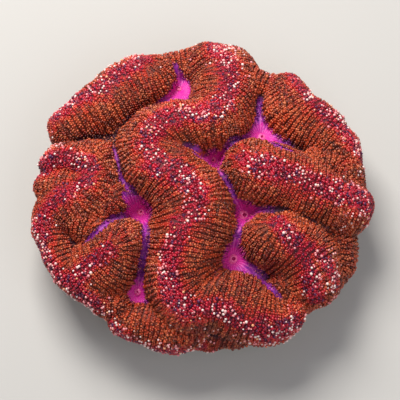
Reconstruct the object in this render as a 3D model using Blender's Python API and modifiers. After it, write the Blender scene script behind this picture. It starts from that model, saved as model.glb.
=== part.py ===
"""A fleshy brain coral, one colony grown as a single piece and cut off flat at its foot.

The colony is a low dome. Thick rounded ridges of flesh wind over it, each a tube whose
crest follows the dome, and narrow valleys with small mouths lie between them. Under the
outer ridges the body curves in like a bowl, down to the flat cut that the coral rests on.

Units: the values below are in millimetres and become metres through MM. +Z is up, and the
origin is the middle of the cut face. Seen from above, +Y is the far side of the coral.
"""
import math

import bmesh
import bpy
from mathutils import Matrix, Vector

MM = 0.001
NODE = "brain_coral"

# The dome that the crests follow, measured from the cut.
CREST_HEIGHT = 50.0
CREST_FALL = 20.0
DOME_X = 62.0
DOME_Y = 59.0

# The body under the ridges: a bowl below its widest height, the valley floor above it.
BODY_X = 61.0
BODY_Y = 58.5
BODY_RISE = 19.0
BODY_LEVEL = 14.0

# Where the dome's axis stands, so that the finished coral is centred on the origin.
AXIS_X = 0.2
AXIS_Y = -3.9

# Each ridge: how far it is sunk below the dome, then points along its middle, each with
# the distances right and back from the dome's axis and the ridge's own radius there. The low
# saddles at the end of the list close the valleys off at the rim.
RIDGES = {
    "meander": (0.0, [
        (2, 58.3, 11), (8.7, 52.6, 15), (8, 40, 14), (4, 30, 12.5), (-3, 29, 10.5),
        (-12, 28, 11), (-21, 23, 12), (-21, 15, 13), (-15, 8, 14.5), (-7, 0, 16.5),
        (-4, -8, 17.5), (-5, -17, 18), (-7, -26, 16), (-8.5, -34, 14.5), (-6, -40, 14),
        (-1, -41.6, 13.3), (6, -40.9, 12.4), (15, -43, 14.2), (24, -47, 11.5), (31, -48, 8),
        (36, -47, 5),
    ]),
    "upper_left": (0.0, [
        (-54, 31.9, 9.3), (-44.6, 37, 11.8), (-37.5, 40.3, 14.3), (-28, 49, 13.6), (-21.5, 50.5, 12.5),
    ]),
    "left": (0.0, [
        (-61.5, 15, 5), (-57, 18, 6), (-48, 15, 8.5), (-42, 13, 10.5), (-42, 4, 12),
        (-46, -2, 11.5), (-54.5, -4, 12.3), (-59.3, -9, 9.6), (-58, -17.5, 7.5), (-55.8, -24.3, 7),
        (-51.6, -30, 7), (-45.8, -35.8, 6.5), (-41, -40, 5),
    ]),
    "left_foot": (4.0, [(-42, 4, 12), (-34, -2, 8)]),
    "left_flank": (3.0, [(-51, -6, 9), (-46, -10.5, 8.5), (-42, -13, 7)]),
    "lower_left": (0.0, [
        (-30, -18, 8), (-34, -22, 12.2), (-38.5, -27, 14), (-45.3, -29.5, 10.5),
    ]),
    "lower": (5.0, [
        (-31, -47, 7), (-26, -48, 8.5), (-19, -49, 10), (-9.5, -51, 10.3), (-4.5, -51, 6.6),
    ]),
    "right": (0.0, [
        (19, 11, 11.5), (24.5, 8, 14.8), (34.5, 5.5, 14.3), (44, 1.2, 13.6), (52, -0.8, 12.6),
        (57.4, -2, 11.6),
    ]),
    "upper_right": (0.0, [
        (34, 44.5, 10), (35.6, 36.5, 12.5), (44.4, 31.4, 12.5), (49.4, 26.4, 11), (56, 22.3, 8),
        (59.3, 13, 5.5),
    ]),
    "lower_right": (0.0, [
        (26, -18, 11), (32, -19, 13), (39, -23, 14.5), (42, -30, 13.6), (43.4, -35.2, 8.8),
    ]),
    "outer_right": (8.0, [
        (51.5, -13, 7.5), (54.8, -17, 7.5), (54.5, -23, 7.2), (51.2, -28.5, 6.7), (46.5, -32.6, 5.6),
    ]),
    "top_saddle": (2.5, [(-20, 56, 6.5), (-12, 58.5, 6), (-4, 59.7, 6.8)]),
    "back_saddle": (2.5, [(19, 51, 7), (25.5, 49, 5.5), (32, 46, 7)]),
    "right_saddle": (3.0, [(46, 15, 6.5), (53, 12, 6.5), (60, 8, 6)]),
    "left_saddle": (1.5, [(-61.2, 7.5, 7), (-51, 5, 7.5)]),
    "lower_saddle": (5.0, [(30, -36.5, 5), (35, -40, 5.5), (40.5, -39.5, 6)]),
    "foot_saddle": (4.0, [(-33, -43, 5), (-38, -42, 6)]),
}
BALL_STEP = 2.0

# A ridge's wall runs down from the round crest, square to the dome. It spreads towards its
# foot in the middle of the coral and narrows at the rim, where the flesh is rolled under.
WALL_DEPTH = 8.0
WALL_BALLS = 4
FOOT_INSIDE = 1.2
FOOT_AT_RIM = 0.68
RIM_START = 0.35
RIM_END = 0.85

# What the smoothing of the skin takes off each ridge.
SMOOTHING_LOSS = 0.5

# The mouths, small pits in the valley floors where the ridges part.
MOUTHS = [(24, 25), (17, -7), (12, -25), (-25, -6), (-26, -39), (-9, 47), (5, 15)]
MOUTH_DEPTH = 2.0
MOUTH_REACH = 2.4

# Meshing: a fine skin over the balls, then far fewer faces that keep its form.
SKIN_CELL = 1.1
SMOOTH_PASSES = 6
FACE_BUDGET = 9200


def crest_height(x, y):
    """The dome's height over a place, in millimetres above the cut."""
    return CREST_HEIGHT - CREST_FALL * ((x / DOME_X) ** 2 + (y / DOME_Y) ** 2)


def wall_foot(x, y):
    """How wide a wall's foot is there, as a share of the crest's radius."""
    out = (x / DOME_X) ** 2 + (y / DOME_Y) ** 2
    share = min(1.0, max(0.0, (out - RIM_START) / (RIM_END - RIM_START)))
    return FOOT_INSIDE + (FOOT_AT_RIM - FOOT_INSIDE) * share * share * (3 - 2 * share)


def dome_normal(x, y):
    """The direction square to the dome over a place."""
    slope_x = 2 * CREST_FALL * x / DOME_X ** 2
    slope_y = 2 * CREST_FALL * y / DOME_Y ** 2
    return Vector((slope_x, slope_y, 1.0)).normalized()


def along(points, step):
    """A Catmull-Rom curve through the points, as places about one step apart."""
    knots = [Vector(p) for p in points]
    knots = [2 * knots[0] - knots[1]] + knots + [2 * knots[-1] - knots[-2]]
    for before, start, end, after in zip(knots, knots[1:], knots[2:], knots[3:]):
        pieces = max(1, math.ceil((end.xy - start.xy).length / step))
        for i in range(pieces):
            t = i / pieces
            yield 0.5 * (
                2 * start + (end - before) * t
                + (2 * before - 5 * start + 4 * end - after) * t ** 2
                + (3 * start - before - 3 * end + after) * t ** 3
            )
    yield knots[-2]


def add_ball(bm, place, size):
    """A ball, or an ellipsoid where the sizes differ, all in millimetres."""
    matrix = Matrix.Translation(place * MM) @ Matrix.Diagonal((*(size * MM), 1.0))
    bmesh.ops.create_icosphere(bm, subdivisions=3, radius=1.0, matrix=matrix)


def ridge_mesh(sunk, points):
    """One ridge as overlapping balls, from its crest down its wall."""
    bm = bmesh.new()
    for x, y, traced_radius in along(points, BALL_STEP):
        radius = traced_radius + SMOOTHING_LOSS
        height = crest_height(x, y) - sunk - traced_radius
        crest = Vector((x + AXIS_X, y + AXIS_Y, height))
        for i in range(WALL_BALLS):
            part = i / (WALL_BALLS - 1)
            place = crest - dome_normal(x, y) * WALL_DEPTH * part
            size = radius * (1 + (wall_foot(x, y) - 1) * part)
            add_ball(bm, place, Vector((size, size, size)))
    mesh = bpy.data.meshes.new("ridge")
    bm.to_mesh(mesh)
    bm.free()
    return mesh


def coral_balls():
    """The body and every ridge, still as overlapping balls, in one mesh."""
    bm = bmesh.new()
    body_size = Vector((BODY_X, BODY_Y, BODY_RISE))
    add_ball(bm, Vector((AXIS_X, AXIS_Y, BODY_LEVEL)), body_size)
    for sunk, points in RIDGES.values():
        bm.from_mesh(ridge_mesh(sunk, points))
    mesh = bpy.data.meshes.new(NODE)
    bm.to_mesh(mesh)
    bm.free()
    return mesh


def with_modifiers(mesh, *settings):
    """The mesh after a list of modifiers, each a type and its values."""
    helper = bpy.data.objects.new("helper", mesh)
    bpy.context.scene.collection.objects.link(helper)
    for kind, values in settings:
        modifier = helper.modifiers.new(kind.title(), kind)
        for name, value in values.items():
            setattr(modifier, name, value)
    depsgraph = bpy.context.evaluated_depsgraph_get()
    result = bpy.data.meshes.new_from_object(helper.evaluated_get(depsgraph))
    bpy.data.objects.remove(helper)
    return result


def press_mouths(mesh):
    """Push a small round pit into the valley floor at each mouth."""
    for vertex in mesh.vertices:
        x = vertex.co.x / MM - AXIS_X
        y = vertex.co.y / MM - AXIS_Y
        if vertex.co.z < BODY_LEVEL * MM:
            continue
        for mouth_x, mouth_y in MOUTHS:
            away = math.hypot(x - mouth_x, y - mouth_y) / MOUTH_REACH
            vertex.co.z -= MOUTH_DEPTH * MM * math.exp(-away * away)


def cut_flat(mesh):
    """Cut the coral at z = 0, close the cut with one flat face and centre the mesh."""
    bm = bmesh.new()
    bm.from_mesh(mesh)
    everything = bm.verts[:] + bm.edges[:] + bm.faces[:]
    bmesh.ops.bisect_plane(
        bm, geom=everything, dist=1e-7, plane_co=(0, 0, 0), plane_no=(0, 0, 1), clear_inner=True
    )
    rim = [edge for edge in bm.edges if edge.is_boundary]
    bmesh.ops.holes_fill(bm, edges=rim, sides=0)
    bmesh.ops.triangulate(bm, faces=bm.faces[:])
    xs = [vertex.co.x for vertex in bm.verts]
    ys = [vertex.co.y for vertex in bm.verts]
    middle = Vector(((max(xs) + min(xs)) / 2, (max(ys) + min(ys)) / 2, 0.0))
    print("middle before centring, mm:", round(middle.x / MM, 2), round(middle.y / MM, 2))
    bmesh.ops.translate(bm, verts=bm.verts[:], vec=-middle)
    bm.to_mesh(mesh)
    bm.free()


def flesh_material():
    """Brownish orange flesh, a little glossy because it is wet."""
    material = bpy.data.materials.new("coral_flesh")
    material.use_nodes = True
    shader = material.node_tree.nodes["Principled BSDF"]
    shader.inputs["Base Color"].default_value = (0.33, 0.11, 0.045, 1.0)
    shader.inputs["Roughness"].default_value = 0.55
    shader.inputs["Metallic"].default_value = 0.0
    return material


def main():
    """Build the coral in an empty scene."""
    for existing in list(bpy.data.objects):
        bpy.data.objects.remove(existing)
    collection = bpy.data.collections.new("brain_coral_colony")
    bpy.context.scene.collection.children.link(collection)

    skin = with_modifiers(
        coral_balls(),
        ("REMESH", {"mode": "VOXEL", "voxel_size": SKIN_CELL * MM}),
        ("SMOOTH", {"factor": 0.5, "iterations": SMOOTH_PASSES}),
    )
    press_mouths(skin)
    faces = 2 * len(skin.polygons)
    light = with_modifiers(
        skin, ("DECIMATE", {"decimate_type": "COLLAPSE", "ratio": FACE_BUDGET / faces})
    )
    cut_flat(light)
    light.name = NODE
    light.materials.clear()
    light.materials.append(flesh_material())
    light.shade_smooth()
    coral = bpy.data.objects.new(NODE, light)
    collection.objects.link(coral)
    print("triangles:", len(light.polygons))


main()
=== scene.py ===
# %% [markdown]
# A fleshy brain coral
#
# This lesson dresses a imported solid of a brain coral. The solid has the winding ridges and the
# flat cut at the foot. The lesson adds what makes it flesh: fine ribs across every ridge,
# rows of small grains on the ribs, pale beads on the crests, mouths in the valleys, and the
# colours of the living tissue. Distances are in millimetres until a mesh is made.

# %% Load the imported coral
import math

import bmesh
import bpy
import numpy as np
from mathutils import Matrix, Vector, kdtree


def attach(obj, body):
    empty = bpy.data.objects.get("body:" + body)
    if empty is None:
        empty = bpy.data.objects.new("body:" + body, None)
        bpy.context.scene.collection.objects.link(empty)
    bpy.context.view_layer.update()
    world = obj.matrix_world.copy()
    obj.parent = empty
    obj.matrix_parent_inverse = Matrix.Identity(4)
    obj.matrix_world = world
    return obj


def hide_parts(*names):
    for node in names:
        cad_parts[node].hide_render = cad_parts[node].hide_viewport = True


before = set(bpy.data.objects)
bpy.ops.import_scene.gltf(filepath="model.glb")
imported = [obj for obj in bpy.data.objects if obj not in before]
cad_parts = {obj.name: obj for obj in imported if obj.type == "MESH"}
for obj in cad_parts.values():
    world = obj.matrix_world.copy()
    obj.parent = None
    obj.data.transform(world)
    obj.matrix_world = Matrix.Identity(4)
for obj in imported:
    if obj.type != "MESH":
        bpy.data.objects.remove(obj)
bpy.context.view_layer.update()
coral_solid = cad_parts["brain_coral"]
MM = 0.001
rng = np.random.default_rng(7)

# %% [markdown]
# The plan of the ridges
#
# A ridge is a tube of flesh over a wall. Its middle line is given by a few points, each with
# the distances right and back from the dome's axis and the ridge's radius there. The crests
# all follow one low dome, so a point needs no height. The same values shaped the solid.

# %% The dome, the body and the ridges
CREST_HEIGHT = 50.0
CREST_FALL = 20.0
DOME_X = 62.0
DOME_Y = 59.0
BODY_SIZE = np.array([61.0, 58.5, 19.0])
BODY_LEVEL = 14.0
AXIS = np.array([0.0, -3.99, 0.0])
WALL_DEPTH = 8.0
FOOT_INSIDE = 1.2
FOOT_AT_RIM = 0.68
RIM_START = 0.35
RIM_END = 0.85

RIDGES = {
    "meander": (0.0, [
        (2, 58.3, 11), (8.7, 52.6, 15), (8, 40, 14), (4, 30, 12.5), (-3, 29, 10.5),
        (-12, 28, 11), (-21, 23, 12), (-21, 15, 13), (-15, 8, 14.5), (-7, 0, 16.5),
        (-4, -8, 17.5), (-5, -17, 18), (-7, -26, 16), (-8.5, -34, 14.5), (-6, -40, 14),
        (-1, -41.6, 13.3), (6, -40.9, 12.4), (15, -43, 14.2), (24, -47, 11.5), (31, -48, 8),
        (36, -47, 5),
    ]),
    "upper_left": (0.0, [
        (-54, 31.9, 9.3), (-44.6, 37, 11.8), (-37.5, 40.3, 14.3), (-28, 49, 13.6), (-21.5, 50.5, 12.5),
    ]),
    "left": (0.0, [
        (-61.5, 15, 5), (-57, 18, 6), (-48, 15, 8.5), (-42, 13, 10.5), (-42, 4, 12),
        (-46, -2, 11.5), (-54.5, -4, 12.3), (-59.3, -9, 9.6), (-58, -17.5, 7.5), (-55.8, -24.3, 7),
        (-51.6, -30, 7), (-45.8, -35.8, 6.5), (-41, -40, 5),
    ]),
    "left_foot": (4.0, [(-42, 4, 12), (-34, -2, 8)]),
    "left_flank": (3.0, [(-51, -6, 9), (-46, -10.5, 8.5), (-42, -13, 7)]),
    "lower_left": (0.0, [
        (-30, -18, 8), (-34, -22, 12.2), (-38.5, -27, 14), (-45.3, -29.5, 10.5),
    ]),
    "lower": (5.0, [
        (-31, -47, 7), (-26, -48, 8.5), (-19, -49, 10), (-9.5, -51, 10.3), (-4.5, -51, 6.6),
    ]),
    "right": (0.0, [
        (19, 11, 11.5), (24.5, 8, 14.8), (34.5, 5.5, 14.3), (44, 1.2, 13.6), (52, -0.8, 12.6),
        (57.4, -2, 11.6),
    ]),
    "upper_right": (0.0, [
        (34, 44.5, 10), (35.6, 36.5, 12.5), (44.4, 31.4, 12.5), (49.4, 26.4, 11), (56, 22.3, 8),
        (59.3, 13, 5.5),
    ]),
    "lower_right": (0.0, [
        (26, -18, 11), (32, -19, 13), (39, -23, 14.5), (42, -30, 13.6), (43.4, -35.2, 8.8),
    ]),
    "outer_right": (8.0, [
        (51.5, -13, 7.5), (54.8, -17, 7.5), (54.5, -23, 7.2), (51.2, -28.5, 6.7), (46.5, -32.6, 5.6),
    ]),
    "top_saddle": (2.5, [(-20, 56, 6.5), (-12, 58.5, 6), (-4, 59.7, 6.8)]),
    "back_saddle": (2.5, [(19, 51, 7), (25.5, 49, 5.5), (32, 46, 7)]),
    "right_saddle": (3.0, [(46, 15, 6.5), (53, 12, 6.5), (60, 8, 6)]),
    "left_saddle": (1.5, [(-61.2, 7.5, 7), (-51, 5, 7.5)]),
    "lower_saddle": (5.0, [(30, -36.5, 5), (35, -40, 5.5), (40.5, -39.5, 6)]),
    "foot_saddle": (4.0, [(-33, -43, 5), (-38, -42, 6)]),
}
print("ridges:", len(RIDGES))

# %% [markdown]
# The camera
#
# The camera looks down at 74 degrees from 0.8 m, and a pixel of the photograph covers 0.4 mm
# of the coral. It is set up before the flesh, because the bright bands are placed by pixel.

# %% Camera
ELEVATION = math.radians(74.0)
CAMERA_DISTANCE = 800.0
PIXEL_MM = 0.4
PHOTO_PIXELS = 400
PHOTO_CENTRE = (202.5, 199.0)
SENSOR = 36.0
CAMERA_LOOK = np.array([0.0, math.cos(ELEVATION), -math.sin(ELEVATION)])
CAMERA_RIGHT = np.array([1.0, 0.0, 0.0])
CAMERA_UP = np.array([0.0, math.sin(ELEVATION), math.cos(ELEVATION)])
CAMERA_TARGET = AXIS + np.array([0.0, 0.0, 28.0])
CAMERA_PLACE = CAMERA_TARGET - CAMERA_LOOK * CAMERA_DISTANCE
camera_data = bpy.data.cameras.new("camera")
camera_data.sensor_width = SENSOR
camera_data.lens = SENSOR * CAMERA_DISTANCE / (PHOTO_PIXELS * PIXEL_MM)
camera_data.shift_x = (PHOTO_PIXELS / 2 - PHOTO_CENTRE[0]) / PHOTO_PIXELS
camera_data.shift_y = (PHOTO_CENTRE[1] - PHOTO_PIXELS / 2) / PHOTO_PIXELS
camera = bpy.data.objects.new("camera", camera_data)
camera.location = Vector(CAMERA_PLACE * MM)
camera.rotation_euler = Vector(CAMERA_LOOK).to_track_quat("-Z", "Y").to_euler()
bpy.context.scene.collection.objects.link(camera)
bpy.context.scene.camera = camera
print("lens, mm:", round(camera_data.lens))

# %% [markdown]
# Following a ridge
#
# A smooth curve through the points could be a Blender curve, but the grains need to know
# where they are on it, so the curve is worked out here. At each step along it a small frame
# is kept: up, which is square to the dome, ahead along the ridge, and side across it.

# %% A curve through a ridge's points, with a frame at each step
SPINE_STEP = 1.0


def course(points, step):
    """A Catmull-Rom curve through the points, as rows of right, back and radius."""
    p = np.array(points, float)
    knots = np.vstack([2 * p[0] - p[1], p, 2 * p[-1] - p[-2]])
    rows = []
    for before, start, end, after in zip(knots, knots[1:], knots[2:], knots[3:]):
        pieces = max(1, math.ceil(np.hypot(*(end - start)[:2]) / step))
        t = (np.arange(pieces) / pieces)[:, None]
        rows.append(0.5 * (
            2 * start + (end - before) * t
            + (2 * before - 5 * start + 4 * end - after) * t ** 2
            + (3 * start - before - 3 * end + after) * t ** 3
        ))
    return np.vstack(rows + [p[-1:]])


def unit(vectors):
    """The same directions at length one."""
    return vectors / np.maximum(np.linalg.norm(vectors, axis=-1, keepdims=True), 1e-9)


def dot(first, second):
    """The dot products of two lists of vectors."""
    return (first * second).sum(-1)


def ease(low, high, values):
    """A smooth step from 0 at low to 1 at high."""
    share = np.clip((values - low) / (high - low), 0.0, 1.0)
    return share * share * (3 - 2 * share)


def spine(sunk, points):
    """A ridge's middle line: places, a frame at each, radius, foot and distance along."""
    rows = course(points, SPINE_STEP)
    x, y, radius = rows.T
    rim = (x / DOME_X) ** 2 + (y / DOME_Y) ** 2
    height = CREST_HEIGHT - CREST_FALL * rim - sunk - radius
    place = np.column_stack([x, y, height]) + AXIS
    slope = np.column_stack([x / DOME_X ** 2, y / DOME_Y ** 2]) * 2 * CREST_FALL
    up = unit(np.column_stack([slope, np.ones(len(x))]))
    flat = unit(np.column_stack([np.gradient(x), np.gradient(y), np.zeros(len(x))]))
    ahead = unit(flat - up * dot(flat, up)[:, None])
    steps = np.linalg.norm(np.diff(place, axis=0), axis=1)
    return {
        "place": place, "up": up, "ahead": ahead, "side": np.cross(up, ahead),
        "radius": radius, "rim": rim, "distance": np.concatenate([[0.0], np.cumsum(steps)]),
        "foot": FOOT_INSIDE + (FOOT_AT_RIM - FOOT_INSIDE) * ease(RIM_START, RIM_END, rim),
    }


spines = {name: spine(sunk, points) for name, (sunk, points) in RIDGES.items()}
print("longest ridge, mm:", round(max(s["distance"][-1] for s in spines.values())))

# %% [markdown]
# The coral's skin as a distance
#
# To put thousands of grains on the skin, one needs to ask how far any place is from it.
# A mesh could be asked, but a row of balls down every ridge gives the same answer with no
# facets. The balls of one ridge join hard, which keeps its folds sharp, and the ridges and
# the body join softly, as flesh does. A little unevenness keeps the ridges from looking
# turned. Round some mouths the flesh draws back, and each mouth lies in a shallow dish.

# %% Distance to the skin
WALL_BALLS = 5
SWELL = -0.45
JOIN = 0.7
CHUNK = 16384
MOUTHS = [(24, 25), (17, -7), (12, -25), (-25, -6), (-26, -39), (-9, 47), (5, 15)]
MOUTH_OPENINGS = [0.2, 2.8, 2.4, 2.8, 0.2, 0.4, 1.8]
OPENING_REACH = 6.0
DISH_DEPTH = 0.7
DISH_REACH = 3.0
LUMP_WAVES = [
    (0.22, (0.42, 0.13, 0.20), 0.3), (0.20, (-0.17, 0.45, 0.31), 1.9),
    (0.16, (0.61, -0.38, 0.25), 4.1), (0.12, (-0.72, -0.55, 0.4), 2.6),
]

mouth_plan = np.array(MOUTHS, float) + AXIS[:2]
ball_place = []
ball_size = []
ball_step = []
ball_span = []
for line in spines.values():
    first = sum(len(b) for b in ball_place)
    for level in np.linspace(0.0, 1.0, WALL_BALLS):
        ball_place.append(line["place"] - line["up"] * WALL_DEPTH * level)
        ball_size.append(line["radius"] * (1 + (line["foot"] - 1) * level) + SWELL)
        ball_step.append(np.arange(len(line["radius"])))
    ball_span.append((first, sum(len(b) for b in ball_place)))
ball_place = np.vstack(ball_place).astype(np.float32)
ball_size = np.concatenate(ball_size).astype(np.float32)
ball_step = np.concatenate(ball_step)
ball_square = (ball_place ** 2).sum(1)


def mouth_distances(places):
    """Distances to every mouth, measured in plan."""
    return np.linalg.norm(places[:, None, :2] - mouth_plan[None], axis=2)


def lumps(places):
    """Slow rises and hollows of the flesh, and how it draws back round the mouths."""
    apart = mouth_distances(places)
    total = -DISH_DEPTH * np.exp(-(apart.min(1) / DISH_REACH) ** 2)
    total -= np.exp(-(apart / OPENING_REACH) ** 2) @ np.array(MOUTH_OPENINGS)
    for height, wave, shift in LUMP_WAVES:
        total += height * np.sin(places @ np.array(wave) + shift)
    return total


def probe(places):
    """Distance to the skin, the direction out of it, and the nearest ridge and spine step."""
    count = len(places)
    gaps = np.empty((count, len(ball_span) + 1))
    nearest = np.empty((count, len(ball_span)), np.int64)
    for start in range(0, count, CHUNK):
        part = places[start:start + CHUNK].astype(np.float32)
        square = (part ** 2).sum(1)[:, None] + ball_square - 2 * part @ ball_place.T
        gap = np.sqrt(np.maximum(square, 1e-6)) - ball_size
        for ridge, (first, last) in enumerate(ball_span):
            best = gap[:, first:last].argmin(1)
            nearest[start:start + CHUNK, ridge] = first + best
            gaps[start:start + CHUNK, ridge] = gap[np.arange(len(part)), first + best]
    middle = places - AXIS - np.array([0.0, 0.0, BODY_LEVEL])
    near = np.linalg.norm(middle / BODY_SIZE, axis=1)
    steep = np.linalg.norm(middle / BODY_SIZE ** 2, axis=1)
    gaps[:, -1] = near * (near - 1) / np.maximum(steep, 1e-9)
    lowest = gaps.min(1)
    weight = np.exp(-(gaps - lowest[:, None]) / JOIN)
    total = weight.sum(1)
    value = lowest - JOIN * np.log(total) - lumps(places)
    weight /= total[:, None]
    direction = unit(middle / BODY_SIZE ** 2) * weight[:, -1:]
    for ridge in range(len(ball_span)):
        away = unit(places - ball_place[nearest[:, ridge]])
        direction += away * weight[:, ridge:ridge + 1]
    owner = gaps[:, :-1].argmin(1)
    step = ball_step[nearest[np.arange(count), owner]]
    over_body = gaps[:, -1] - gaps[:, :-1].min(1)
    return value, direction, owner, step, over_body


def settle(places, passes=3):
    """Move places onto the skin."""
    for _ in range(passes):
        value, direction = probe(places)[:2]
        size = np.maximum(dot(direction, direction), 0.25)
        places = places - direction * np.clip(value / size, -2.0, 2.0)[:, None]
    return places


print("balls:", len(ball_size))

# %% [markdown]
# The bright bands
#
# A crimson band runs along each ridge, not always on its crest, so the bands are traced on
# the photograph: each is a few pixels, and every pixel is sent from the camera onto the
# skin. The bare violet veins of the valleys are traced in the same way. The ribs run out
# from the band, so a line inside the ridge, under its band, is kept too. A ridge with no
# band of its own, or a tight hook, has its middle line and its highest places instead.

# %% Bands traced by pixel, and the lines that the ribs run out from
BANDS = {
    "meander": (4.2, [
        (215, 44), (226, 65), (229, 85), (221, 103), (203, 112), (180, 114), (160, 121),
        (150, 135), (151, 155), (165, 167), (185, 178), (197, 194), (192, 213), (179, 231),
        (171, 250), (168, 275), (173, 297), (192, 310), (218, 310), (234, 315), (248, 325),
        (264, 334), (280, 332), (298, 322),
    ]),
    "upper_left": (4.0, [
        (55, 117), (68, 104), (80, 98), (92, 93), (104, 84), (116, 76), (128, 68), (142, 59),
    ]),
    "left": (3.7, [
        (38, 174), (46, 162), (60, 158), (76, 161), (88, 169), (87, 177), (79, 185),
        (66, 191), (53, 202), (43, 218), (39, 236), (42, 252), (52, 268), (68, 284),
        (82, 297), (96, 309),
    ]),
    "lower_left": (3.0, [(109, 247), (100, 257), (88, 268), (74, 280)]),
    "lower": (2.5, [(110, 324), (124, 336), (144, 346), (164, 351), (184, 351), (202, 346)]),
    "right": (4.4, [(244, 161), (268, 166), (290, 173), (312, 184), (345, 194), (371, 203)]),
    "upper_right": (3.6, [
        (292, 76), (304, 92), (318, 106), (331, 118), (344, 131), (354, 144), (361, 158),
    ]),
    "lower_right": (3.3, [
        (276, 222), (286, 235), (298, 248), (307, 264), (312, 280), (317, 298),
    ]),
    "lower_right_edge": (2.5, [(311, 247), (325, 261), (332, 275), (334, 289)]),
}
VEINS = {
    "upper": [
        (174, 62, 0.7), (177, 72, 1.3), (180, 84, 2), (171, 95, 1.6), (157, 105, 0.8), (146, 110, 0.4),
    ],
    "upper_thin": [(114, 146, 0.3), (116, 156, 0.8), (121, 172, 0.7), (128, 190, 1.1)],
    "left_mouth": [(125, 194, 1.3), (134, 206, 2.3), (141, 213, 2.5), (147, 224, 1.6)],
    "left_arm": [(138, 210, 2.2), (124, 214, 1.6), (110, 222, 1.2), (96, 233, 0.9), (82, 245, 0.5)],
    "left_down": [
        (143, 218, 1.8), (144, 236, 1.1), (143, 254, 1), (142, 272, 1.2), (138, 288, 2),
        (137, 298, 1.5),
    ],
    "middle": [
        (190, 151, 0.4), (204, 160, 1), (213, 160, 1.5), (222, 152, 0.8), (236, 140, 0.6),
        (250, 135, 1.2),
    ],
    "middle_down": [(213, 160, 1.5), (222, 174, 0.7), (231, 188, 0.9), (237, 202, 1.6)],
    "first_mouth": [
        (258, 98, 0.6), (260, 116, 1.4), (262, 132, 2.2), (268, 141, 2), (280, 147, 1.2),
        (296, 152, 0.5),
    ],
    "mouths": [
        (234, 198, 1.3), (242, 207, 2.2), (243, 216, 2.6), (238, 230, 1.8), (234, 244, 1.9),
        (232, 258, 2.6),
    ],
    "mouths_right": [(244, 212, 2.2), (254, 209, 1.6), (268, 211, 0.6)],
    "lower_arm": [
        (224, 261, 1.6), (232, 262, 2.2), (244, 268, 1.8), (258, 277, 1.5), (270, 287, 1.1),
        (282, 299, 0.5),
    ],
}
PIXEL_STEP = 2.5
EVEN_OUT = 3
OWN_LINE = {"left"}


def cast(pixels):
    """The places on the skin where the camera sees these pixels of the photograph."""
    right = (pixels[:, 0] - PHOTO_CENTRE[0]) * PIXEL_MM / CAMERA_DISTANCE
    rise = (PHOTO_CENTRE[1] - pixels[:, 1]) * PIXEL_MM / CAMERA_DISTANCE
    way = unit(np.outer(right, CAMERA_RIGHT) + np.outer(rise, CAMERA_UP) + CAMERA_LOOK)
    place = CAMERA_PLACE + way * (CAMERA_DISTANCE - 60.0)
    best = place.copy()
    lowest = np.full(len(place), np.inf)
    for _ in range(50):
        gap = probe(place)[0]
        nearer = np.abs(gap) < lowest
        best[nearer] = place[nearer]
        lowest = np.minimum(lowest, np.abs(gap))
        place = place + way * np.clip(gap, 0.1, 6.0)[:, None]
    return settle(best, 5)


def evened(points):
    """The points of a line, each averaged with its neighbours."""
    padded = np.pad(points, ((EVEN_OUT, EVEN_OUT), (0, 0)), "edge")
    share = np.ones(2 * EVEN_OUT + 1) / (2 * EVEN_OUT + 1)
    return np.column_stack([np.convolve(column, share, "valid") for column in padded.T])


def on_skin(pixels):
    """A line traced in pixels as its half widths and its places on the skin."""
    rows = course(pixels, PIXEL_STEP)
    return np.maximum(rows[:, 2], 0.2), evened(cast(rows[:, :2]))


band_lines = {
    name: on_skin([(right, down, half) for right, down in pixels])
    for name, (half, pixels) in BANDS.items()
}
vein_lines = {name: on_skin(pixels) for name, pixels in VEINS.items()}


def rib_line(name, line):
    """The line inside a ridge that its ribs run out from, and its crest on the skin."""
    if name not in BANDS or name in OWN_LINE:
        return {**line, "crest": line["place"] + line["up"] * line["radius"][:, None]}
    crest = band_lines[name][1]
    gap = np.linalg.norm(crest[:, None] - line["place"][None], axis=2)
    radius = line["radius"][gap.argmin(1)]
    up = unit(evened(unit(probe(crest)[1])))
    place = crest - up * radius[:, None]
    along = np.gradient(place, axis=0)
    ahead = unit(along - up * dot(along, up)[:, None])
    steps = np.linalg.norm(np.diff(place, axis=0), axis=1)
    return {
        "place": place, "up": up, "ahead": ahead, "side": np.cross(up, ahead),
        "radius": radius, "distance": np.concatenate([[0.0], np.cumsum(steps)]),
        "crest": crest,
    }


rib_lines = {name: rib_line(name, line) for name, line in spines.items()}
print("bands and veins:", len(band_lines), len(vein_lines))


def wandering(places, wave, seed):
    """A slow random pattern from about -1 to 1."""
    turn = np.random.default_rng(seed).normal(0.0, wave, (6, 3))
    shift = np.random.default_rng(seed + 1).uniform(0.0, 6.28, 6)
    return np.sin(places @ turn.T + shift).mean(1) * 1.8


def measure(places, lines):
    """Distance from the nearest line's middle, where 1 is the line's edge."""
    least = np.full(len(places), 9.0)
    for half, points in lines.values():
        for start in range(0, len(places), CHUNK):
            part = slice(start, start + CHUNK)
            gap = np.linalg.norm(places[part, None] - points[None], axis=2) / half
            least[part] = np.minimum(least[part], gap.min(1))
    return least / (1 + 0.22 * wandering(places, 0.35, 21))


def crest_distance(places, owner):
    """Distance over the skin from the ridge's crest, the side of it and the way from it."""
    far = np.zeros(len(places))
    side = np.zeros(len(places), int)
    away = np.zeros((len(places), 3))
    for ridge, line in enumerate(rib_lines.values()):
        mine = np.flatnonzero(owner == ridge)
        for start in range(0, len(mine), CHUNK):
            some = mine[start:start + CHUNK]
            gap = np.linalg.norm(places[some, None] - line["crest"][None], axis=2)
            best = gap.argmin(1)
            chord = gap[np.arange(len(some)), best]
            radius = line["radius"][best]
            bend = np.minimum(chord / (2 * radius), math.sqrt(0.5))
            far[some] = 2 * radius * np.arcsin(bend) + chord - 2 * radius * bend
            away[some] = places[some] - line["crest"][best]
            side[some] = dot(away[some], line["side"][best]) > 0
    return far, side, away


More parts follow.
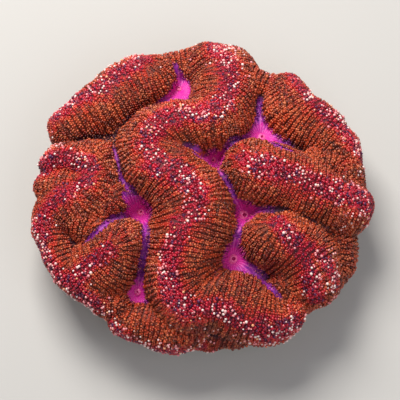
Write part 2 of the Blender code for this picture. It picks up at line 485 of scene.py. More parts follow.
# %% [markdown]
# The ribs
#
# Ribs stand 2.1 mm apart and run across each ridge. Where a ridge bends, the nearest place
# on the line inside it jumps from one side of the fold to the other, and ribs counted by it
# would meet in a seam. So the count is an average over the line, weighted by nearness, and
# ribs fan into the folds as they do on the coral. Round a band's end they fan about it. On
# the outside of a bend they would spread, so there is one more between each two there, and
# on the inside of a bend every second one ends. Each rib has a streak, a shade of its own.

# %% Rib count, its direction and how far the ribs are spread
RIB_SPACING = 2.1
NEARNESS = 6.5
TIGHT = {"left": 3.6}
SHELTER_REACH = 4.0
RIB_WANDER = 0.18
RUN_ON = np.arange(SPINE_STEP, 3 * NEARNESS, SPINE_STEP)[:, None]
MORE_RIBS = 1.42


def rib_count(places, owner):
    """Ribs counted along the ridge, and the direction in which the count grows."""
    count = np.zeros(len(places))
    grows = np.zeros((len(places), 3))
    for ridge, (name, line) in enumerate(rib_lines.items()):
        reach_over = TIGHT.get(name, NEARNESS)
        before = line["place"][0] - line["ahead"][0] * RUN_ON[::-1]
        after = line["place"][-1] + line["ahead"][-1] * RUN_ON
        points = np.vstack([before, line["place"], after])
        reach = line["distance"][-1] + RUN_ON[:, 0]
        along_all = np.concatenate([-RUN_ON[::-1, 0], line["distance"], reach])
        mine_all = np.flatnonzero(owner == ridge)
        for start in range(0, len(mine_all), CHUNK):
            mine = mine_all[start:start + CHUNK]
            here = places[mine]
            square = dot(here, here)[:, None] + dot(points, points) - 2 * here @ points.T
            weight = np.exp((square.min(1)[:, None] - square) / (2 * reach_over ** 2))
            weight /= weight.sum(1)[:, None]
            mean = weight @ along_all
            lean = (weight * along_all) @ points - mean[:, None] * (weight @ points)
            slope = lean / reach_over ** 2
            at = square[:, len(before):len(before) + len(line["place"])].argmin(1)
            offset = here - line["place"][at]
            ahead, side = line["ahead"][at], line["side"][at]
            along = dot(offset, ahead)
            across = dot(offset, side)
            last = len(line["radius"]) - 1
            beyond = ((at == last) & (along > 0)) | ((at == 0) & (along < 0))
            way = np.sign(along)
            radius = line["radius"][at]
            fan = line["distance"][at] + way * radius * np.arctan2(way * along, np.abs(across))
            round_way = ahead * np.abs(across)[:, None]
            round_way = round_way - side * (along * np.sign(across))[:, None]
            far = np.maximum(along ** 2 + across ** 2, 0.01)
            fan_slope = round_way * (radius / far)[:, None]
            count[mine] = np.where(beyond, fan, mean)
            grows[mine] = np.where(beyond[:, None], fan_slope, slope)
    return count / RIB_SPACING + RIB_WANDER * wandering(places, 0.3, 31), grows


def rib_layout(places, outward, owner):
    """Rib count, its direction on the skin, the spread and how many ribs there are to one."""
    count, grows = rib_count(places, owner)
    grows = grows - outward * dot(grows, outward)[:, None]
    spread = 1 / np.maximum(np.linalg.norm(grows, axis=1), 0.012)
    many = 2.0 ** np.clip(np.ceil(np.log2(spread / MORE_RIBS)), -3, 6)
    return count, unit(grows), spread, many


def streaks(count, owner):
    """A shade from 0 to 1 for each rib, passing smoothly from one rib to the next."""
    def shade(rib):
        return np.modf(np.abs(np.sin(rib * 12.9898 + owner * 4.17)) * 437.5453)[0]
    rib = np.floor(count)
    share = ease(0.25, 0.75, count - rib)
    return shade(rib) * (1 - share) + shade(rib + 1) * share


def shelter(places, direction):
    """How closed in a place on the skin is, from 0 in the open to 1 deep in a crease."""
    open_gap = probe(places + unit(direction) * SHELTER_REACH)[0]
    return np.clip(1 - open_gap / SHELTER_REACH, 0.0, 1.0)


# %% [markdown]
# The skin
#
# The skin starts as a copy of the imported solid, remeshed into small even cells. Subdividing
# would keep the solid's long facets, so a voxel remesh is the better start. Every vertex is
# moved onto the skin's true place. That spreads the cells where the flesh draws back, so the
# mesh is made even and moved once more. Then the ribs raise or lower it. Below the flesh
# the bare skeleton shows, with its own thin ribs running up and out from the cut.

# %% Remesh a copy of the solid and move it onto the ribbed skin
ROUGH_CELL = 0.9
SKIN_CELL = 0.74
RIB_HEIGHT = 0.42
FOOT_BAND = 3.0
BARE_LEVEL = 12.0
BARE_BLEND = 2.5
COSTAE = 150
COSTA_HEIGHT = 0.28
VEIN_DEPTH = 0.5
GLOWS = np.array([6.0, 6.5, 7.5, 8.5, 4.5, 5.5, 6.0])


def as_numbers(items, name, width):
    """A mesh property of all items as an array."""
    found = np.empty(len(items) * width, np.float32)
    items.foreach_get(name, found)
    return found.reshape(-1, width).astype(float)


def new_object(name, mesh):
    """A named object for a mesh, in the scene."""
    made = bpy.data.objects.new(name, mesh)
    bpy.context.scene.collection.objects.link(made)
    return made


def remeshed_copy(source, cell):
    """A merged copy of a mesh, remeshed into even cells."""
    bm = bmesh.new()
    bm.from_mesh(source)
    bmesh.ops.remove_doubles(bm, verts=bm.verts, dist=1e-6)
    mesh = bpy.data.meshes.new("merged")
    bm.to_mesh(mesh)
    bm.free()
    helper = new_object("helper", mesh)
    remesh = helper.modifiers.new("Remesh", "REMESH")
    remesh.mode = "VOXEL"
    remesh.voxel_size = cell * MM
    depsgraph = bpy.context.evaluated_depsgraph_get()
    result = bpy.data.meshes.new_from_object(helper.evaluated_get(depsgraph))
    bpy.data.objects.remove(helper)
    return result


def settled(mesh):
    """A mesh's vertices, how freely each may move, and their places on the skin."""
    start = as_numbers(mesh.vertices, "co", 3) / MM
    lift = ease(0.4, FOOT_BAND, start[:, 2])
    return start, lift, start + (settle(start) - start) * lift[:, None]


def add_layer(mesh, name, values):
    """Store one number for each vertex, for a material to read."""
    layer = mesh.attributes.new(name, "FLOAT", "POINT")
    layer.data.foreach_set("value", np.asarray(values, np.float32))


rough_mesh = remeshed_copy(coral_solid.data, ROUGH_CELL)
rough_places = settled(rough_mesh)[2]
rough_mesh.vertices.foreach_set("co", (rough_places * MM).astype(np.float32).ravel())
skin_mesh = remeshed_copy(rough_mesh, SKIN_CELL)
print("skin quads:", len(skin_mesh.polygons))
start, lift, smooth = settled(skin_mesh)
value, direction, owner, step, over_body = probe(smooth)
outward = unit(direction)
count, grows, spread, many = rib_layout(smooth, outward, owner)
streak = streaks(count * many, owner)
far, side, away = crest_distance(smooth, owner)
band = measure(smooth, band_lines)
vein = measure(smooth, vein_lines)
closed = shelter(smooth, outward)
on_floor = ease(1.0, -0.8, over_body)
plan = smooth[:, :2] - AXIS[:2]
rim_share = np.hypot(plan[:, 0] / BODY_SIZE[0], plan[:, 1] / BODY_SIZE[1])
ragged = 1.2 * np.sin(np.arctan2(plan[:, 1], plan[:, 0]) * 11) + lumps(smooth) * 3
bare = ease(BARE_LEVEL + BARE_BLEND, BARE_LEVEL - BARE_BLEND, smooth[:, 2] + ragged)
bare = np.maximum(bare, ease(-0.2, -0.6, outward[:, 2]) * on_floor)
grooved = ease(0.6, 2.2, band) * (1 - 0.5 * ease(0.5, 0.9, closed))
mouth_gaps = mouth_distances(smooth)
mouth = mouth_gaps.min(1)
glow = ease(GLOWS, GLOWS * 0.45, mouth_gaps).max(1) * ease(9.0, 4.0, over_body)
# Painted shade in part: sheltered creases take the valley colours. The rest marks the valley floors,
# the places round the mouths and the veins.
deep = np.maximum(ease(0.6, 0.92, closed) * 0.9, ease(1.6, 0.3, over_body))
deep = np.maximum(deep, glow) * ease(1.0, 0.9, rim_share)
deep = np.maximum(deep, ease(1.9, 0.9, vein))
rise = np.cos(2 * math.pi * count * many) * (1 - bare)
costa = np.cos(np.arctan2(plan[:, 1], plan[:, 0]) * COSTAE) * bare
lifted = rise * RIB_HEIGHT * (0.2 + 0.8 * grooved) * (1 - 0.65 * on_floor)
lifted = lifted * ease(0.8, 1.8, vein) - VEIN_DEPTH * ease(1.5, 0.5, vein)
lifted += costa * COSTA_HEIGHT * ease(1.0, 5.0, smooth[:, 2])
skin = smooth + outward * (lifted * lift)[:, None]
skin[:, 2] = np.where(start[:, 2] < 0.4, 0.0, np.maximum(skin[:, 2], 0.0))
skin_mesh.vertices.foreach_set("co", (skin * MM).astype(np.float32).ravel())
skin_mesh.update()
skin_mesh.shade_smooth()
way = smooth[:, :2] - mouth_plan[mouth_gaps.argmin(1)]
for layer, values in (
    ("band", band), ("deep", deep), ("floor", on_floor), ("rise", rise), ("streak", streak),
    ("vein", vein),
    ("mouth", mouth), ("way_x", way[:, 0]), ("way_y", way[:, 1]), ("bare", bare),
    ("costa", costa),
):
    add_layer(skin_mesh, layer, values)
skin_piece = new_object("coral_flesh", skin_mesh)
print("skin height, mm:", round(skin[:, 2].max(), 2))

# %% [markdown]
# The grains
#
# The ribs are covered with small grains in rows, two rows to a rib. A particle system or
# instances would not survive an export, so the grains are joined meshes, made from one small
# ball with 20 faces. To place them, every vertex of the skin is asked which row and which
# spot along it is nearest. The vertex nearest to each spot gives the grain, moved the last
# fraction of a millimetre onto the spot. Where ribs part, a few more fill the gaps.

# %% Pick a spot for each grain
ROWS = ((0.2, 0.8), (0.0, 0.3, 0.7, 1.0))
THREE_ROWS = 1.16
FLANK_STEP = 0.92
CREST_STEP = 1.1
NEAREST_FIT = 0.78
UNDER_LIMIT = -0.45
JITTER = (0.13, 0.24)
BALD_GAP = 0.9
FILL_STEP = 0.9

hidden = ease(0.35, 0.8, on_floor) * ease(11.0, 7.0, mouth) + ease(0.95, 1.02, closed)
hidden = np.maximum(hidden, ease(1.1, 0.8, vein))
can_grow = (outward[:, 2] > UNDER_LIMIT) & (smooth[:, 2] > 4.0) & (bare < 0.4)
can_grow &= rng.random(len(hidden)) > hidden


def nearest_row(parts):
    """The nearest row to each place between two ribs, for two rows to a rib or three."""
    wide = spread * many > THREE_ROWS
    row = np.empty(len(parts))
    for chooses, places in ((~wide, ROWS[0]), (wide, ROWS[1])):
        gap = np.abs(parts[chooses, None] - np.array(places))
        row[chooses] = np.array(places)[gap.argmin(1)]
    return row


def pick_spots():
    """One grain for each spot of each row: the skin vertex used and how far to move it."""
    ribs = count * many
    in_row = np.floor(ribs) + nearest_row(ribs - np.floor(ribs))
    row = np.round(in_row * 100).astype(int)
    slide = (in_row - ribs) / many * RIB_SPACING * spread
    pace = np.where(band < 1.0, CREST_STEP, FLANK_STEP)
    stagger = (row % 77) / 77
    spot = np.floor(far / pace + stagger).astype(int)
    drop = (spot + 0.5 - stagger) * pace - far
    miss = np.hypot(slide, drop)
    key = owner * 2 + side
    for part, width in ((many * 8, 1000), (row + 400000, 2000000), (band < 1.0, 2), (spot, 100)):
        key = key * width + part.astype(int)
    grows_here = can_grow & (miss < NEAREST_FIT)
    order = np.argsort(np.where(grows_here, miss, 99.0), kind="stable")
    chosen = order[np.unique(key[order], return_index=True)[1]]
    chosen = chosen[grows_here[chosen]]
    return chosen, slide[chosen], drop[chosen]


def bald_spots(taken):
    """Vertices for the few places where the rows leave a gap, one to each small cube."""
    tree = kdtree.KDTree(len(taken))
    for index, spot in enumerate(taken):
        tree.insert(spot, index)
    tree.balance()
    free = np.flatnonzero(can_grow & (hidden < 0.3))
    bald = free[np.array([tree.find(spot)[2] for spot in smooth[free]]) > BALD_GAP]
    cubes = np.floor(smooth[bald] / FILL_STEP).astype(int)
    return bald[np.unique(cubes, axis=0, return_index=True)[1]]


chosen, slide, drop = pick_spots()
more = bald_spots(smooth[chosen])
print("grains in rows and between:", len(chosen), len(more))
chosen = np.concatenate([chosen, more])
slide = np.concatenate([slide, np.zeros(len(more))])
drop = np.concatenate([drop, np.zeros(len(more))])
downhill = unit(np.cross(outward[chosen], grows[chosen]))
downhill *= np.sign(dot(downhill, away[chosen]))[:, None]
place = smooth[chosen] + grows[chosen] * slide[:, None] + downhill * drop[:, None]
loose = JITTER[0] + (JITTER[1] - JITTER[0]) * ease(1.3, 0.9, band[chosen])
place = settle(place + rng.normal(0.0, 1.0, place.shape) * loose[:, None], 2)
grain_out = unit(probe(place)[1])
print("grains:", len(place))

# %% [markdown]
# Grains and beads
#
# On a flank the grains are small and close. On the crest they are larger and looser. There
# some swell into pale beads, which stand in loose clusters and along the outer rim, so a
# share of the crest's own grains become beads and nothing overlaps.

# %% Size the grains and choose the beads
FLANK_SIZE = 0.52
CREST_SIZE = 0.6
BEAD_SIZE = (0.38, 0.66)
BEAD_LIFT = 0.3
GRAIN_LIFT = 0.0
CLUSTER_WAVE = 0.55


fit = np.clip(spread[chosen] * many[chosen], 0.7, 1.3) ** 0.6
on_crest = ease(1.25, 0.75, band[chosen] + 0.25 * wandering(place, 0.5, 3))
size = (FLANK_SIZE + (CREST_SIZE - FLANK_SIZE) * on_crest) * fit
size = size * rng.normal(1.0, 0.13 + 0.07 * on_crest).clip(0.6, 1.45)
size = size * (0.72 + 0.28 * ease(0.9, 2.6, vein[chosen]))
cluster = wandering(place, CLUSTER_WAVE, 11)
chance = 0.06 + 0.3 * ease(0.0, 0.7, cluster)
chance = chance * ease(1.3, 0.8, band[chosen])
at_rim = ease(0.86, 0.98, rim_share[chosen]) * ease(0.75, 0.35, np.abs(grain_out[:, 2] - 0.2))
chance = np.maximum(chance, 0.24 * at_rim * ease(3.4, 1.2, band[chosen]))
chance = chance * ease(0.5, 0.3, closed[chosen]) * ease(0.3, 0.7, spread[chosen] * many[chosen])
is_bead = rng.random(len(size)) < chance
bead_size = BEAD_SIZE[0] + (BEAD_SIZE[1] - BEAD_SIZE[0]) * rng.random(len(size)) ** 2
size = np.where(is_bead, bead_size, size)
ribs_here = count[chosen] * many[chosen] + slide / (RIB_SPACING * spread[chosen]) * many[chosen]
raised = np.cos(2 * math.pi * ribs_here) * RIB_HEIGHT * (0.2 + 0.8 * grooved[chosen])
raised = raised + GRAIN_LIFT + BEAD_LIFT * is_bead
place = place + grain_out * raised[:, None]
grain_out = unit(grain_out + rng.normal(0.0, 0.18, grain_out.shape))
tone = rng.random(len(size))
grains = {
    "place": place, "outward": grain_out, "size": size, "tone": tone,
    "band": band[chosen], "deep": deep[chosen], "vein": vein[chosen], "mouth": mouth[chosen],
    "streak": streak[chosen],
}
print("beads:", int(is_bead.sum()))

# %% [markdown]
# Joining the grains
#
# The small ball comes from bmesh, and numpy repeats it at every place. Each grain gets a
# tile of its own on a UV map, because Blender's own unwrapping would cut every grain apart.
# The grains of one ridge make a piece, and a long ridge has several.

# %% Build joined meshes from one small ball
GRAINS_A_PIECE = 9600
GRAIN_STRETCH = 1.15
JOINED_WITH = {
    "left_foot": "left", "left_flank": "left", "left_saddle": "left", "foot_saddle": "lower",
    "right_saddle": "upper_right", "back_saddle": "upper_right", "outer_right": "lower_right",
    "lower_saddle": "lower_right", "top_saddle": "upper_left",
}


def small_ball(divisions):
    """Vertices and triangles of a unit ball."""
    bm = bmesh.new()
    bmesh.ops.create_icosphere(bm, subdivisions=divisions, radius=1.0)
    bm.verts.ensure_lookup_table()
    points = np.array([v.co[:] for v in bm.verts])
    faces = np.array([[v.index for v in f.verts] for f in bm.faces])
    bm.free()
    return points, faces


def joined_balls(name, ball, group):
    """One mesh of many balls, each stretched a little along its own outward direction."""
    points, faces = ball
    total = len(group["place"])
    out = group["outward"][:, None, :]
    height = (points[None] * out).sum(2, keepdims=True)
    shaped = points[None] + (GRAIN_STRETCH - 1) * height * out
    verts = group["place"][:, None, :] + group["size"][:, None, None] * shaped
    corners = (faces[None] + (np.arange(total) * len(points))[:, None, None]).reshape(-1)
    mesh = bpy.data.meshes.new(name)
    mesh.vertices.add(total * len(points))
    mesh.vertices.foreach_set("co", (verts * MM).astype(np.float32).ravel())
    mesh.loops.add(len(corners))
    mesh.loops.foreach_set("vertex_index", corners.astype(np.int32))
    mesh.polygons.add(len(corners) // 3)
    mesh.polygons.foreach_set("loop_start", np.arange(0, len(corners), 3, dtype=np.int32))
    mesh.update(calc_edges=True)
    mesh.shade_smooth()
    for layer in ("band", "deep", "vein", "mouth", "streak", "tone"):
        add_layer(mesh, layer, np.repeat(group[layer], len(points)))
    add_layer(mesh, "tip", height.reshape(-1))
    tiles = math.ceil(math.sqrt(total))
    tile = np.column_stack([np.arange(total) % tiles, np.arange(total) // tiles])
    spot = (tile[:, None, :] + 0.5 + 0.3 * points[None, :, :2]) / tiles
    uv = spot.reshape(-1, 2)[corners]
    mesh.uv_layers.new(name="OFBake").data.foreach_set("uv", uv.astype(np.float32).ravel())
    return new_object(name, mesh)


def part_of(group, picks):
    """Some of a group's grains."""
    return {key: values[picks] for key, values in group.items()}


names = np.array([JOINED_WITH.get(name, name) for name in spines])
grain_home = names[owner[chosen]]
grain_ball = small_ball(1)
grain_pieces = []
for name in sorted(set(names)):
    all_picks = np.flatnonzero((grain_home == name) & ~is_bead)
    for number, picks in enumerate(np.array_split(all_picks, -(-len(all_picks) // GRAINS_A_PIECE))):
        title = f"grains_{name}_{number + 1}"
        grain_pieces.append(joined_balls(title, grain_ball, part_of(grains, picks)))
        print(title, len(picks))
bead_piece = joined_balls("crest_beads", small_ball(2), part_of(grains, is_bead))

# %% [markdown]
# The mouths
#
# A mouth is a soft ring round a small throat, in the floor where ridges part. It is a turned
# shape, so a few points of its profile are spun round the way the floor faces there. The
# mouths are placed by pixel too, so that they lie where the photograph shows them.

# %% Spin the mouths
MOUTH_PROFILE = [
    (0.0, -0.35), (0.42, -0.12), (0.62, 0.2), (0.8, 0.36), (1.02, 0.36), (1.25, 0.16),
    (1.6, -0.02), (2.1, -0.3), (2.1, -0.9), (0.0, -0.9),
]
MOUTH_PIXELS = [
    (262, 137), (244.6, 215), (233.7, 258.7), (141, 212), (137.5, 292), (179, 88), (213, 160),
]
MOUTH_SIZES = [0.95, 1.1, 1.1, 0.75, 0.65, 0.6, 0.6]
THROAT = 0.62


def mouth_mesh(spot, facing, scale):
    """One mouth as a closed turned shape, lying on the valley floor."""
    bm = bmesh.new()
    line = [bm.verts.new((r, 0.0, z)) for r, z in MOUTH_PROFILE]
    edges = [bm.edges.new(pair) for pair in zip(line, line[1:])]
    bmesh.ops.spin(
        bm, geom=line + edges, cent=(0, 0, 0), axis=(0, 0, 1), dvec=(0, 0, 0),
        angle=2 * math.pi, steps=32, use_merge=True, use_duplicate=False,
    )
    bmesh.ops.remove_doubles(bm, verts=bm.verts, dist=1e-4)
    bmesh.ops.recalc_face_normals(bm, faces=bm.faces)
    throat = bm.verts.layers.float.new("throat")
    for vertex in bm.verts:
        vertex[throat] = 1.0 if vertex.co.xy.length < THROAT else 0.0
    tilt = Vector(facing).to_track_quat("Z", "Y").to_matrix().to_4x4()
    matrix = Matrix.Scale(MM, 4) @ Matrix.Translation(Vector(spot)) @ tilt
    bmesh.ops.transform(bm, matrix=matrix @ Matrix.Scale(scale, 4), verts=bm.verts)
    mesh = bpy.data.meshes.new("mouth")
    bm.to_mesh(mesh)
    bm.free()
    return mesh


mouth_spots = cast(np.array(MOUTH_PIXELS))
whole = bmesh.new()
for spot, facing, scale in zip(mouth_spots, unit(probe(mouth_spots)[1]), MOUTH_SIZES):
    whole.from_mesh(mouth_mesh(spot, facing, scale))
mouths_mesh = bpy.data.meshes.new("mouths")
whole.to_mesh(mouths_mesh)
whole.free()
mouths_mesh.shade_smooth()
mouth_piece = new_object("mouths", mouths_mesh)
print("mouths from the dome's axis, mm:", (mouth_spots - AXIS).round(1).tolist())

# %% [markdown]
# Shader maths in Python
#
# A material is easier to read as arithmetic than as wiring. The small class below wraps an
# output socket, and adding or multiplying two of them adds the Math node that does it.

# %% A socket that Python arithmetic works on


class Number:
    """A value in a material, from which arithmetic makes new Math nodes."""

    def __init__(self, tree, socket):
        self.tree = tree
        self.socket = socket

    def maths(self, operation, first, second=None):
        node = self.tree.nodes.new("ShaderNodeMath")
        node.operation = operation
        for slot, value in zip(node.inputs, (first, second)):
            if isinstance(value, Number):
                self.tree.links.new(value.socket, slot)
            elif value is not None:
                slot.default_value = value
        return Number(self.tree, node.outputs[0])

    def __add__(self, other):
        return self.maths("ADD", self, other)

    def __radd__(self, other):
        return self.maths("ADD", other, self)

    def __sub__(self, other):
        return self.maths("SUBTRACT", self, other)

    def __rsub__(self, other):
        return self.maths("SUBTRACT", other, self)

    def __mul__(self, other):
        return self.maths("MULTIPLY", self, other)

    def __rmul__(self, other):
        return self.maths("MULTIPLY", other, self)

    def __truediv__(self, other):
        return self.maths("DIVIDE", self, other)

    def __pow__(self, other):
        return self.maths("POWER", self, other)

    def between(self, low, high):
        """0 below low and 1 above high, smoothly; with low above high it falls instead."""
        node = self.tree.nodes.new("ShaderNodeMapRange")
        node.interpolation_type = "SMOOTHSTEP"
        falls = low > high
        self.tree.links.new(self.socket, node.inputs["Value"])
        node.inputs["From Min"].default_value = min(low, high)
        node.inputs["From Max"].default_value = max(low, high)
        node.inputs["To Min"].default_value = 1.0 if falls else 0.0
        node.inputs["To Max"].default_value = 0.0 if falls else 1.0
        return Number(self.tree, node.outputs["Result"])


class Finish:
    """A material under construction, with one method that adds any node."""

    def __init__(self, name):
        self.material = bpy.data.materials.new(name)
        self.material.use_nodes = True
        self.tree = self.material.node_tree
        self.shader = self.tree.nodes["Principled BSDF"]

    def node(self, kind, settings=None, inputs=None, output=0):
        """Add a node, set it, feed its sockets with values or links, and give an output."""
        made = self.tree.nodes.new(kind)
        for key, value in (settings or {}).items():
            setattr(made, key, value)
        for key, value in (inputs or {}).items():
            self.feed(made.inputs[key], value)
        return Number(self.tree, made.outputs[output])

    def feed(self, slot, value):
        """Link a socket to a node's output, or set its plain value."""
        if isinstance(value, Number):
            self.tree.links.new(value.socket, slot)
        else:
            slot.default_value = value

    def layer(self, name):
        """A number stored on the mesh."""
        settings = {"attribute_type": "GEOMETRY", "attribute_name": name}
        return self.node("ShaderNodeAttribute", settings, output="Fac")

    def noise(self, size, detail=2.0):
        """Noise whose lumps are about so many millimetres across, from 0 to 1."""
        place = self.node("ShaderNodeTexCoord", output="Object")
        inputs = {"Vector": place, "Scale": 1.0 / (size * MM), "Detail": detail}
        return self.node("ShaderNodeTexNoise", None, inputs)

    def mix(self, share, first, second):
        """The first colour where share is 0 and the second where it is 1."""
        inputs = {0: share, 6: first, 7: second}
        return self.node("ShaderNodeMix", {"data_type": "RGBA"}, inputs, output=2)

    def set(self, **sockets):
        """Feed the shader's own sockets."""
        for name, value in sockets.items():
            self.feed(self.shader.inputs[name.replace("_", " ")], value)
        return self.material


def colour(red, green, blue):
    """A colour picked on screen, as the linear values that a shader takes."""
    def linear(value):
        share = value / 255
        return share / 12.92 if share <= 0.04045 else ((share + 0.055) / 1.055) ** 2.4
    return (linear(red), linear(green), linear(blue), 1.0)


# %% [markdown]
# The colours of the flesh
#
# Flanks are orange brown, bands are crimson with violet specks and an orange red fringe. The
# streaks of the ribs run into the band, so its edge is frayed. Down in a valley the flesh
# turns magenta near a mouth and violet further off. Sheltered creases take these valley
# colours too, partly as painted shade, and a crease far from mouths and veins is painted a
# dark shade. The skin between the grains gets a painted shade, and the grains a painted
# highlight at the tip and a painted shade at the root. Skin and grains share one recipe, so a
# grain never stands out in a colour of its own place.

# %% One recipe for flank, band and valley
ORANGE = colour(204, 68, 22)
RUST = colour(176, 44, 22)
TAN = colour(202, 90, 46)
UMBER = colour(100, 32, 20)
FRINGE = colour(214, 40, 24)
CRIMSON = colour(190, 0, 44)
WINE = colour(112, 6, 48)
MAGENTA = colour(222, 26, 158)
BLUE = colour(84, 44, 168)
VIOLET = colour(142, 34, 148)
SHADE = colour(78, 16, 42)


def valley_colour(finish):
    """Magenta round the mouths, then violet, then a dark painted shade far from mouths and veins."""
    mouth = finish.layer("mouth")
    patch = finish.noise(2.6, 2.0)
    purple = finish.mix((mouth + patch * 9).between(7.0, 13.0), MAGENTA, VIOLET)
    purple = finish.mix(patch.between(0.56, 0.7) * mouth.between(4.0, 9.0) * 0.5, purple, BLUE)
    # Painted shade: far from mouths and veins the valley colour turns to SHADE.
    shade_share = mouth.between(9.0, 14.0) * finish.layer("vein").between(1.6, 3.4)
    return finish.mix(shade_share, purple, SHADE)


def flesh_colour(finish):
    """The tissue's colour from the layers on the mesh."""
    band = finish.layer("band")
    streak = finish.layer("streak")
    region = finish.noise(17.0, 2.0)
    patch = finish.noise(5.0, 3.0)
    speck = finish.noise(1.5, 2.0)
    flank = finish.mix(region.between(0.38, 0.62), ORANGE, RUST)
    flank = finish.mix(patch.between(0.45, 0.68) * 0.7, flank, TAN)
    flank = finish.mix((speck * 0.7 + streak * 0.3).between(0.46, 0.66) * 0.7, flank, UMBER)
    reach = band + (speck - 0.5) * 1.2 + (patch - 0.5) * 2.2 + (region - 0.5) * 1.2
    reach = reach + (streak - 0.5) * 0.7
    flank = finish.mix(reach.between(2.1, 1.2) * 0.85, flank, FRINGE)
    crimson = finish.mix(speck.between(0.48, 0.62), CRIMSON, WINE)
    warm = finish.mix(reach.between(1.2, 0.8), flank, crimson)
    # Where the skin is deep the valley colour takes over; in sheltered creases this is partly painted
    # shade.
    depth = (finish.layer("deep") + (speck - 0.5) * 0.5).between(0.3, 0.8)
    return finish.mix(depth, warm, valley_colour(finish))


def skin_finish():
    """The skin between the grains, the valley floors and the bare skeleton."""
    finish = Finish("skin")
    mouth = finish.layer("mouth")
    rise = finish.layer("rise")
    # Painted shade: the skin between the grains is darker, most of all in the grooves between ribs,
    # but not on the valley floors.
    groove_shade = rise.between(0.6, -0.9)
    dark = finish.mix(0.35 + groove_shade * 0.45, flesh_colour(finish), colour(46, 14, 12))
    fibre = finish.noise(0.9, 3.0)
    angle = mouth.maths("ARCTAN2", finish.layer("way_y"), finish.layer("way_x"))
    ray = mouth.maths("SINE", (angle * 30.0) + (fibre * 5.0))
    ray = ray * mouth.between(0.8, 2.0) * mouth.between(11.0, 7.0)
    light = (ray * 0.3 + fibre).between(0.42, 0.8)
    wet = finish.mix(light * 0.55, valley_colour(finish), colour(244, 112, 196))
    near = finish.layer("floor").between(0.25, 0.7) * mouth.between(12.0, 8.0)
    near = near.maths("MAXIMUM", near, finish.layer("vein").between(1.8, 1.0))
    wet = finish.mix(near, dark, wet)
    # Painted shade: the bare skeleton is darker in the grooves between its costae.
    costa = finish.layer("costa").between(-0.9, 0.4)
    chalk = finish.mix(costa, colour(120, 98, 80), colour(214, 198, 172))
    algae = finish.noise(9.0, 4.0).between(0.5, 0.62) * 0.6
    chalk = finish.mix(algae, chalk, colour(150, 96, 112))
    bare = (finish.layer("bare") + (fibre - 0.5) * 0.5).between(0.4, 0.6)
    tint = finish.mix(bare, wet, chalk)
    fine = finish.noise(0.45, 3.0)
    bump = finish.node(
        "ShaderNodeBump", None,
        {"Strength": 0.6, "Distance": 0.0002, "Height": fine + ray * near * 0.5},
    )
    rough = bare * 0.3 + 0.5 + fine * 0.15 - near * 0.15
    return finish.set(
        Base_Color=tint, Roughness=rough, Normal=bump, Specular_IOR_Level=0.3
    )


def grain_finish():
    """The grains: the flesh's colour, a painted highlight on some tips, a painted shade at the root,
    and no two quite alike.
    """
    finish = Finish("grain")
    tone = finish.layer("tone")
    band = finish.layer("band")
    tip = finish.layer("tip").between(-0.3, 0.95)
    base = flesh_colour(finish)
    dim = finish.mix(tone.between(0.42, 0.0) * 0.8, base, colour(62, 22, 14))
    on_crest = band.between(1.3, 0.9)
    # Painted highlight: some grains, chosen at random, are paler towards the tip.
    tip_highlight = finish.mix(on_crest, colour(236, 132, 82), colour(214, 8, 50))
    lit = finish.mix(tone.between(0.6, 1.0) * (0.15 + tip * 0.5), dim, tip_highlight)
    lit = finish.mix(on_crest * tone.between(0.16, 0.08) * 0.8, lit, colour(84, 14, 80))
    # Painted shade: each grain darkens towards its root.
    tint = finish.mix((1 - tip) * 0.6, lit, colour(50, 14, 14))
    return finish.set(Base_Color=tint, Roughness=0.36, Coat_Weight=0.15, Coat_Roughness=0.15)


def bead_finish():
    """Pearly beads, from white to rose and peach."""
    finish = Finish("bead")
    tone = finish.layer("tone")
    tip = finish.layer("tip").between(-0.5, 0.7)
    tint = finish.mix(tone.between(0.15, 0.6), colour(255, 230, 222), colour(248, 152, 156))
    tint = finish.mix(tone.between(0.86, 0.96) * 0.8, tint, colour(246, 180, 120))
    tint = finish.mix((1 - tip) * 0.85, tint, colour(176, 20, 56))
    return finish.set(Base_Color=tint, Roughness=0.22)


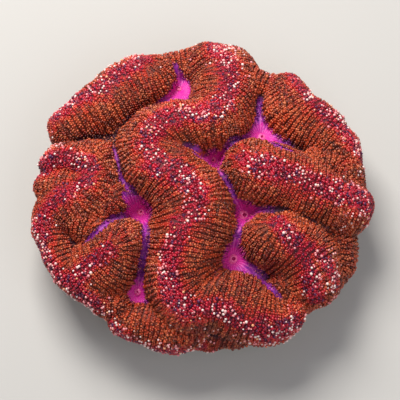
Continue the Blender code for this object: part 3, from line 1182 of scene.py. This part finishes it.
def mouth_finish():
    """The lips and the dark throats of the mouths."""
    finish = Finish("mouth")
    speck = finish.noise(0.7, 2.0)
    lip = finish.mix(speck.between(0.3, 0.7), colour(255, 132, 190), colour(242, 66, 150))
    tint = finish.mix(finish.layer("throat"), lip, colour(176, 16, 100))
    return finish.set(Base_Color=tint, Roughness=0.3)


skin_material = skin_finish()
grain_material = grain_finish()
bead_material = bead_finish()
mouth_material = mouth_finish()
for piece, material, slot in (
    [(skin_piece, skin_material, "coral_flesh"), (mouth_piece, mouth_material, "valley_flesh")]
    + [(piece, grain_material, "coral_flesh") for piece in grain_pieces]
    + [(bead_piece, bead_material, "pearl_tips")]
):
    piece.data.materials.clear()
    piece.data.materials.append(material)
    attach(piece, "root")
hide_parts("brain_coral")
print("materials:", len(bpy.data.materials))

# %% [markdown]
# Floor, light and camera
#
# The floor is plain and pale. A broad soft light stands behind the coral, so that the near
# flanks are in half shade and the ridges read as round. The camera looks down at 74 degrees,
# as the photograph does.

# %% Floor
FLOOR_HALF = 1.6


def floor_sheet():
    """A wide plain floor under the coral."""
    bm = bmesh.new()
    bmesh.ops.create_grid(bm, x_segments=1, y_segments=1, size=FLOOR_HALF)
    mesh = bpy.data.meshes.new("floor")
    bm.to_mesh(mesh)
    bm.free()
    return new_object("floor", mesh)


floor = floor_sheet()
plain = Finish("floor_paint")
floor.data.materials.append(plain.set(Base_Color=colour(196, 194, 190), Roughness=0.8))

# %% Lights
def area_light(name, place, size, power, tint):
    """A square soft light that faces the coral."""
    data = bpy.data.lights.new(name, "AREA")
    data.size = size
    data.energy = power
    data.color = tint
    made = bpy.data.objects.new(name, data)
    made.location = place
    made.rotation_euler = (Vector((0, 0, 0.02)) - Vector(place)).to_track_quat("-Z", "Y").to_euler()
    bpy.context.scene.collection.objects.link(made)
    return made


area_light("key", (-0.2, 0.5, 0.66), 0.45, 10.0, (1.0, 0.97, 0.93))
area_light("fill", (0.4, -0.5, 0.7), 0.8, 2.4, (0.95, 0.97, 1.0))
world = bpy.data.worlds.new("studio")
world.use_nodes = True
world.node_tree.nodes["Background"].inputs["Color"].default_value = (0.9, 0.92, 1.0, 1.0)
world.node_tree.nodes["Background"].inputs["Strength"].default_value = 0.25
bpy.context.scene.world = world
bpy.context.scene.view_settings.view_transform = "Standard"
